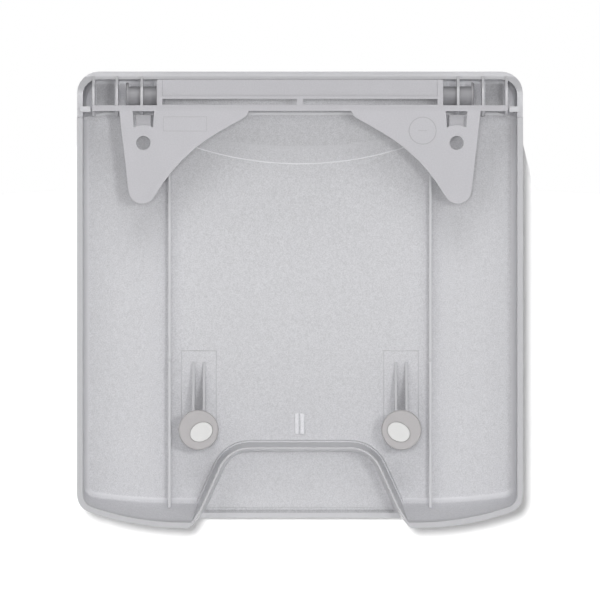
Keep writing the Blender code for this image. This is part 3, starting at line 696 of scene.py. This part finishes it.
class SOCKETCOVER_OT_buffers(bpy.types.Operator):
    """Dress the soft buffers and their white plugs"""
    bl_idname = "socketcover.buffers"
    bl_label = "Buffers"

    def execute(self, context):
        settings = context.scene.cover_buffers
        rubber = buffer_rubber(settings, context.scene.cover_plastic.grain_size)
        white = plug_plastic(settings)
        for side in ("left", "right"):
            shape = merged_copy(f"buffer_{side}", TURNED_DEGREES)
            buffer = link(f"soft_buffer_{side}", shape, rubber, "lid")
            weigh_normals(buffer)
            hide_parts(f"buffer_{side}")
            shape = merged_copy(f"buffer_plug_{side}", TURNED_DEGREES)
            plug = link(f"white_plug_{side}", shape, white, "lid")
            weigh_normals(plug)
            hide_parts(f"buffer_plug_{side}")
        return {"FINISHED"}


def insert_tree():
    """Two frames on the lid's floor, one each side, as the joint round a mould insert leaves them."""
    tree = Tree("mould_insert_outlines", ("Width", "Height", "Radius", "Place X", "Place Z", "Depth"))
    rectangle = tree.add("GeometryNodeCurvePrimitiveQuadrilateral", {}, {"Width": "Width",
                                                                         "Height": "Height"})
    middle = tree.math("ADD", tree.math("MULTIPLY", "Height", 0.5), "Place Z")
    depth = tree.math("MULTIPLY", "Depth", -1.0)
    place = tree.add("ShaderNodeCombineXYZ", {}, {"X": "Place X", "Y": depth, "Z": middle})
    upright = tree.add("GeometryNodeTransform", {}, {"Geometry": rectangle, "Translation": place,
                                                     "Rotation": (math.pi / 2, 0.0, 0.0)})
    tube = tree.tube(upright, False)
    other = tree.add("GeometryNodeTransform", {}, {"Geometry": tube, "Scale": (-1.0, 1.0, 1.0)})
    turned_out = tree.add("GeometryNodeFlipFaces", {}, {"Mesh": other})
    tree.end(tree.add("GeometryNodeJoinGeometry", {}, {"Geometry": [turned_out, tube]}))
    return tree


def joint_tree():
    """A fine bead along an arc that bows downwards across the lid's floor."""
    tree = Tree("mould_joint_arc", ("Arc Radius", "Half Width", "Lowest", "Radius", "Depth"))
    line = tree.add("GeometryNodeMeshLine", {}, {"Count": ARC_POINTS, "Offset": (0.0, 0.0, 0.0)})
    index = tree.add("GeometryNodeInputIndex", {}, {})
    share = tree.add("ShaderNodeMapRange", {}, {"Value": index, "From Max": ARC_POINTS - 1.0, "To Min": -1.0})
    across = tree.math("MULTIPLY", share, "Half Width")
    squared = tree.math("MULTIPLY", across, across)
    inside = tree.math("SUBTRACT", tree.math("MULTIPLY", "Arc Radius", "Arc Radius"), squared)
    rise = tree.math("SUBTRACT", "Arc Radius", tree.math("SQRT", inside))
    height = tree.math("ADD", rise, "Lowest")
    depth = tree.math("MULTIPLY", "Depth", -1.0)
    place = tree.add("ShaderNodeCombineXYZ", {}, {"X": across, "Y": depth, "Z": height})
    bent = tree.add("GeometryNodeSetPosition", {}, {"Geometry": line, "Position": place})
    tree.end(tree.tube(tree.add("GeometryNodeMeshToCurve", {}, {"Mesh": bent}), True))
    return tree


class SOCKETCOVER_OT_marks(bpy.types.Operator):
    """Add the fine beads that the joints of the mould leave on the lid's floor"""
    bl_idname = "socketcover.marks"
    bl_label = "Mould Marks"

    def execute(self, context):
        marks = context.scene.cover_marks
        dark = joint_plastic(context.scene.cover_plastic, "insert_joint_dark", marks.insert_lightness)
        # The arc's bead is lighter as a painted highlight.
        light = joint_plastic(context.scene.cover_plastic, "arc_joint_light", marks.arc_highlight)
        low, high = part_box("buffer_left")
        middle = (low + high) / 2
        outlines = insert_tree().mesh("insert_outlines", {
            "Width": marks.insert_width, "Height": marks.insert_height, "Radius": marks.line_radius,
            "Place X": middle.x, "Place Z": middle.z, "Depth": FLOOR, "Material": dark})
        arc = joint_tree().mesh("joint_arc", {
            "Arc Radius": marks.arc_radius, "Half Width": marks.arc_half_width, "Lowest": marks.arc_place,
            "Radius": marks.line_radius, "Depth": FLOOR, "Material": light})
        for name, mesh, material in (("insert_outlines", outlines, dark), ("joint_arc", arc, light)):
            link(name, mesh, material, "lid")
        return {"FINISHED"}


# Stage

def sheet(name, corners, material):
    """A flat piece of the stage."""
    mesh = bpy.data.meshes.new(name)
    mesh.from_pydata(corners, [], [range(len(corners))])
    mesh.materials.append(material)
    thing = bpy.data.objects.new(name, mesh)
    bpy.context.scene.collection.objects.link(thing)
    return thing


def lamp(name, strength, size, place, surfaces, state, sheen=True):
    """A round lamp that gives its level on a surface facing it.

    With the state INCLUDE it lights these surfaces alone, and with EXCLUDE all others.
    """
    towards = PICTURE_MIDDLE - Vector(place)
    light = bpy.data.lights.new(name, "AREA")
    light.energy = strength * (math.pi * towards.length) ** 2
    light.shape = "DISK"
    light.size = size
    thing = bpy.data.objects.new(name, light)
    thing.location = place
    thing.rotation_euler = towards.to_track_quat("-Z", "Y").to_euler()
    bpy.context.scene.collection.objects.link(thing)
    group = bpy.data.collections.new(name + "_surfaces")
    for surface in surfaces:
        group.objects.link(surface)
    for entry in group.collection_objects:
        entry.light_linking.link_state = state
    thing.light_linking.receiver_collection = group
    thing.visible_glossy = sheen


def studio_surface(name, shade, glow):
    """Pale matt surface, clear from behind, so that the object can be seen through it from there."""
    shader = Shader(name)
    dust = shader.noise(STUDIO_DUST, detail=3.0, roughness=0.6)
    shader.finish(Base_Color=shader.tint(shade, 1.0 + uneven(dust, 0.01)), Roughness=STUDIO_ROUGHNESS,
                  Specular_IOR_Level=0.0)
    camera, glossy, through = (shader.add("ShaderNodeLightPath", {}, {}, ray) for ray in SEEING_RAYS)
    seen = camera.larger(glossy).larger(through)
    light = shader.add("ShaderNodeEmission", {}, {"Strength": seen * glow})
    matt = Value(shader, shader.surface.outputs[0])
    front = shader.add("ShaderNodeAddShader", {}, [matt, light])
    behind = shader.add("ShaderNodeNewGeometry", {}, {}, "Backfacing")
    clear = shader.add("ShaderNodeBsdfTransparent", {}, {})
    surface = shader.add("ShaderNodeMixShader", {}, [behind, front, clear])
    shader.set(shader.tree.nodes["Material Output"].inputs["Surface"], surface)
    return shader.material


def studio_world(ambient):
    """White behind the object, and soft even light of the ambient strength on it."""
    world = bpy.data.worlds.new("studio_world")
    world.use_nodes = True
    tree = world.node_tree
    background = tree.nodes["Background"]
    path = tree.nodes.new("ShaderNodeLightPath")
    seen = path.outputs[SEEING_RAYS[0]]
    for ray in SEEING_RAYS[1:]:
        either = tree.nodes.new("ShaderNodeMath")
        either.operation = "MAXIMUM"
        tree.links.new(seen, either.inputs[0])
        tree.links.new(path.outputs[ray], either.inputs[1])
        seen = either.outputs[0]
    strength = tree.nodes.new("ShaderNodeMapRange")
    strength.inputs["To Min"].default_value = ambient
    strength.inputs["To Max"].default_value = 1.0
    tree.links.new(seen, strength.inputs["Value"])
    tree.links.new(strength.outputs[0], background.inputs["Strength"])
    background.inputs["Color"].default_value = (1.0, 1.0, 1.0, 1.0)
    return world


def photo_camera(settings):
    """A camera square on to the wall side."""
    data = bpy.data.cameras.new("photo_camera")
    data.sensor_width = SENSOR_WIDTH
    data.lens = SENSOR_WIDTH * settings.camera_distance / settings.frame_width
    data.clip_start = CLIP_START
    data.clip_end = CLIP_END
    camera = bpy.data.objects.new("photo_camera", data)
    camera.location = PICTURE_MIDDLE + Vector((0.0, settings.camera_distance, 0.0))
    camera.rotation_euler = (math.pi / 2, 0.0, math.pi)
    bpy.context.scene.collection.objects.link(camera)
    return camera


class SOCKETCOVER_OT_stage(bpy.types.Operator):
    """Set the camera, the lamps, the pale floor and the backdrop"""
    bl_idname = "socketcover.stage"
    bl_label = "Stage"

    def execute(self, context):
        settings = context.scene.cover_stage
        low = BOTTOM - FLOOR_DROP
        around = ((-1, -1), (1, -1), (1, 1), (-1, 1))
        sheet("stage_floor", [(x * FLOOR_REACH, y * FLOOR_REACH, low) for x, y in around],
              studio_surface("stage_floor_pale", settings.floor_colour, settings.floor_glow))
        right = [(BACKDROP_REACH, low), *BACKDROP_SHOULDERS, (BACKDROP_TOP_REACH, settings.backdrop_top)]
        edge = [(-x, z) for x, z in right] + right[::-1]
        backdrop = sheet("stage_backdrop", [(x, -FRONT - settings.backdrop_gap, z) for x, z in edge],
                         studio_surface("stage_backdrop_pale", settings.floor_colour, settings.glow))
        backdrop.visible_shadow = False
        backdrop.visible_diffuse = False
        context.scene.camera = photo_camera(settings)
        for name, setting, share, width, place, sheen in LAMPS:
            lamp(name, getattr(settings, setting) * share, width, place, [backdrop], "EXCLUDE", sheen)
        lamp("backdrop_lamp", settings.backdrop, BACKDROP_LAMP_WIDTH, BACKDROP_LAMP_PLACE, [backdrop],
             "INCLUDE")
        context.scene.world = studio_world(settings.ambient)
        context.scene.view_settings.view_transform = "Standard"
        return {"FINISHED"}


class SOCKETCOVER_PT_panel(bpy.types.Panel):
    """Lists the cover's settings and its pieces"""
    bl_label = "Socket Cover"
    bl_idname = "SOCKETCOVER_PT_panel"
    bl_space_type = "VIEW_3D"
    bl_region_type = "UI"
    bl_category = "Socket Cover"

    def draw(self, context):
        for name, group in GROUPS.items():
            box = self.layout.box()
            box.label(text=name.removeprefix("cover_").title())
            for key in group.__annotations__:
                box.prop(getattr(context.scene, name), key)
        for operator in OPERATORS:
            self.layout.operator(operator.bl_idname)


GROUPS = {"cover_plastic": PlasticSettings, "cover_buffers": BufferSettings, "cover_marks": MarkSettings,
          "cover_stage": StageSettings}
OPERATORS = (SOCKETCOVER_OT_lid, SOCKETCOVER_OT_bracket, SOCKETCOVER_OT_buffers, SOCKETCOVER_OT_marks,
             SOCKETCOVER_OT_stage)


def register():
    for cls in (*GROUPS.values(), *OPERATORS, SOCKETCOVER_PT_panel):
        bpy.utils.register_class(cls)
    for name, group in GROUPS.items():
        setattr(bpy.types.Scene, name, PointerProperty(type=group))


def unregister():
    for name in GROUPS:
        delattr(bpy.types.Scene, name)
    for cls in reversed((*GROUPS.values(), *OPERATORS, SOCKETCOVER_PT_panel)):
        bpy.utils.unregister_class(cls)


def main():
    register()
    for operator in OPERATORS:
        module, name = operator.bl_idname.split(".")
        getattr(getattr(bpy.ops, module), name)()


if __name__ == "__main__":
    main()
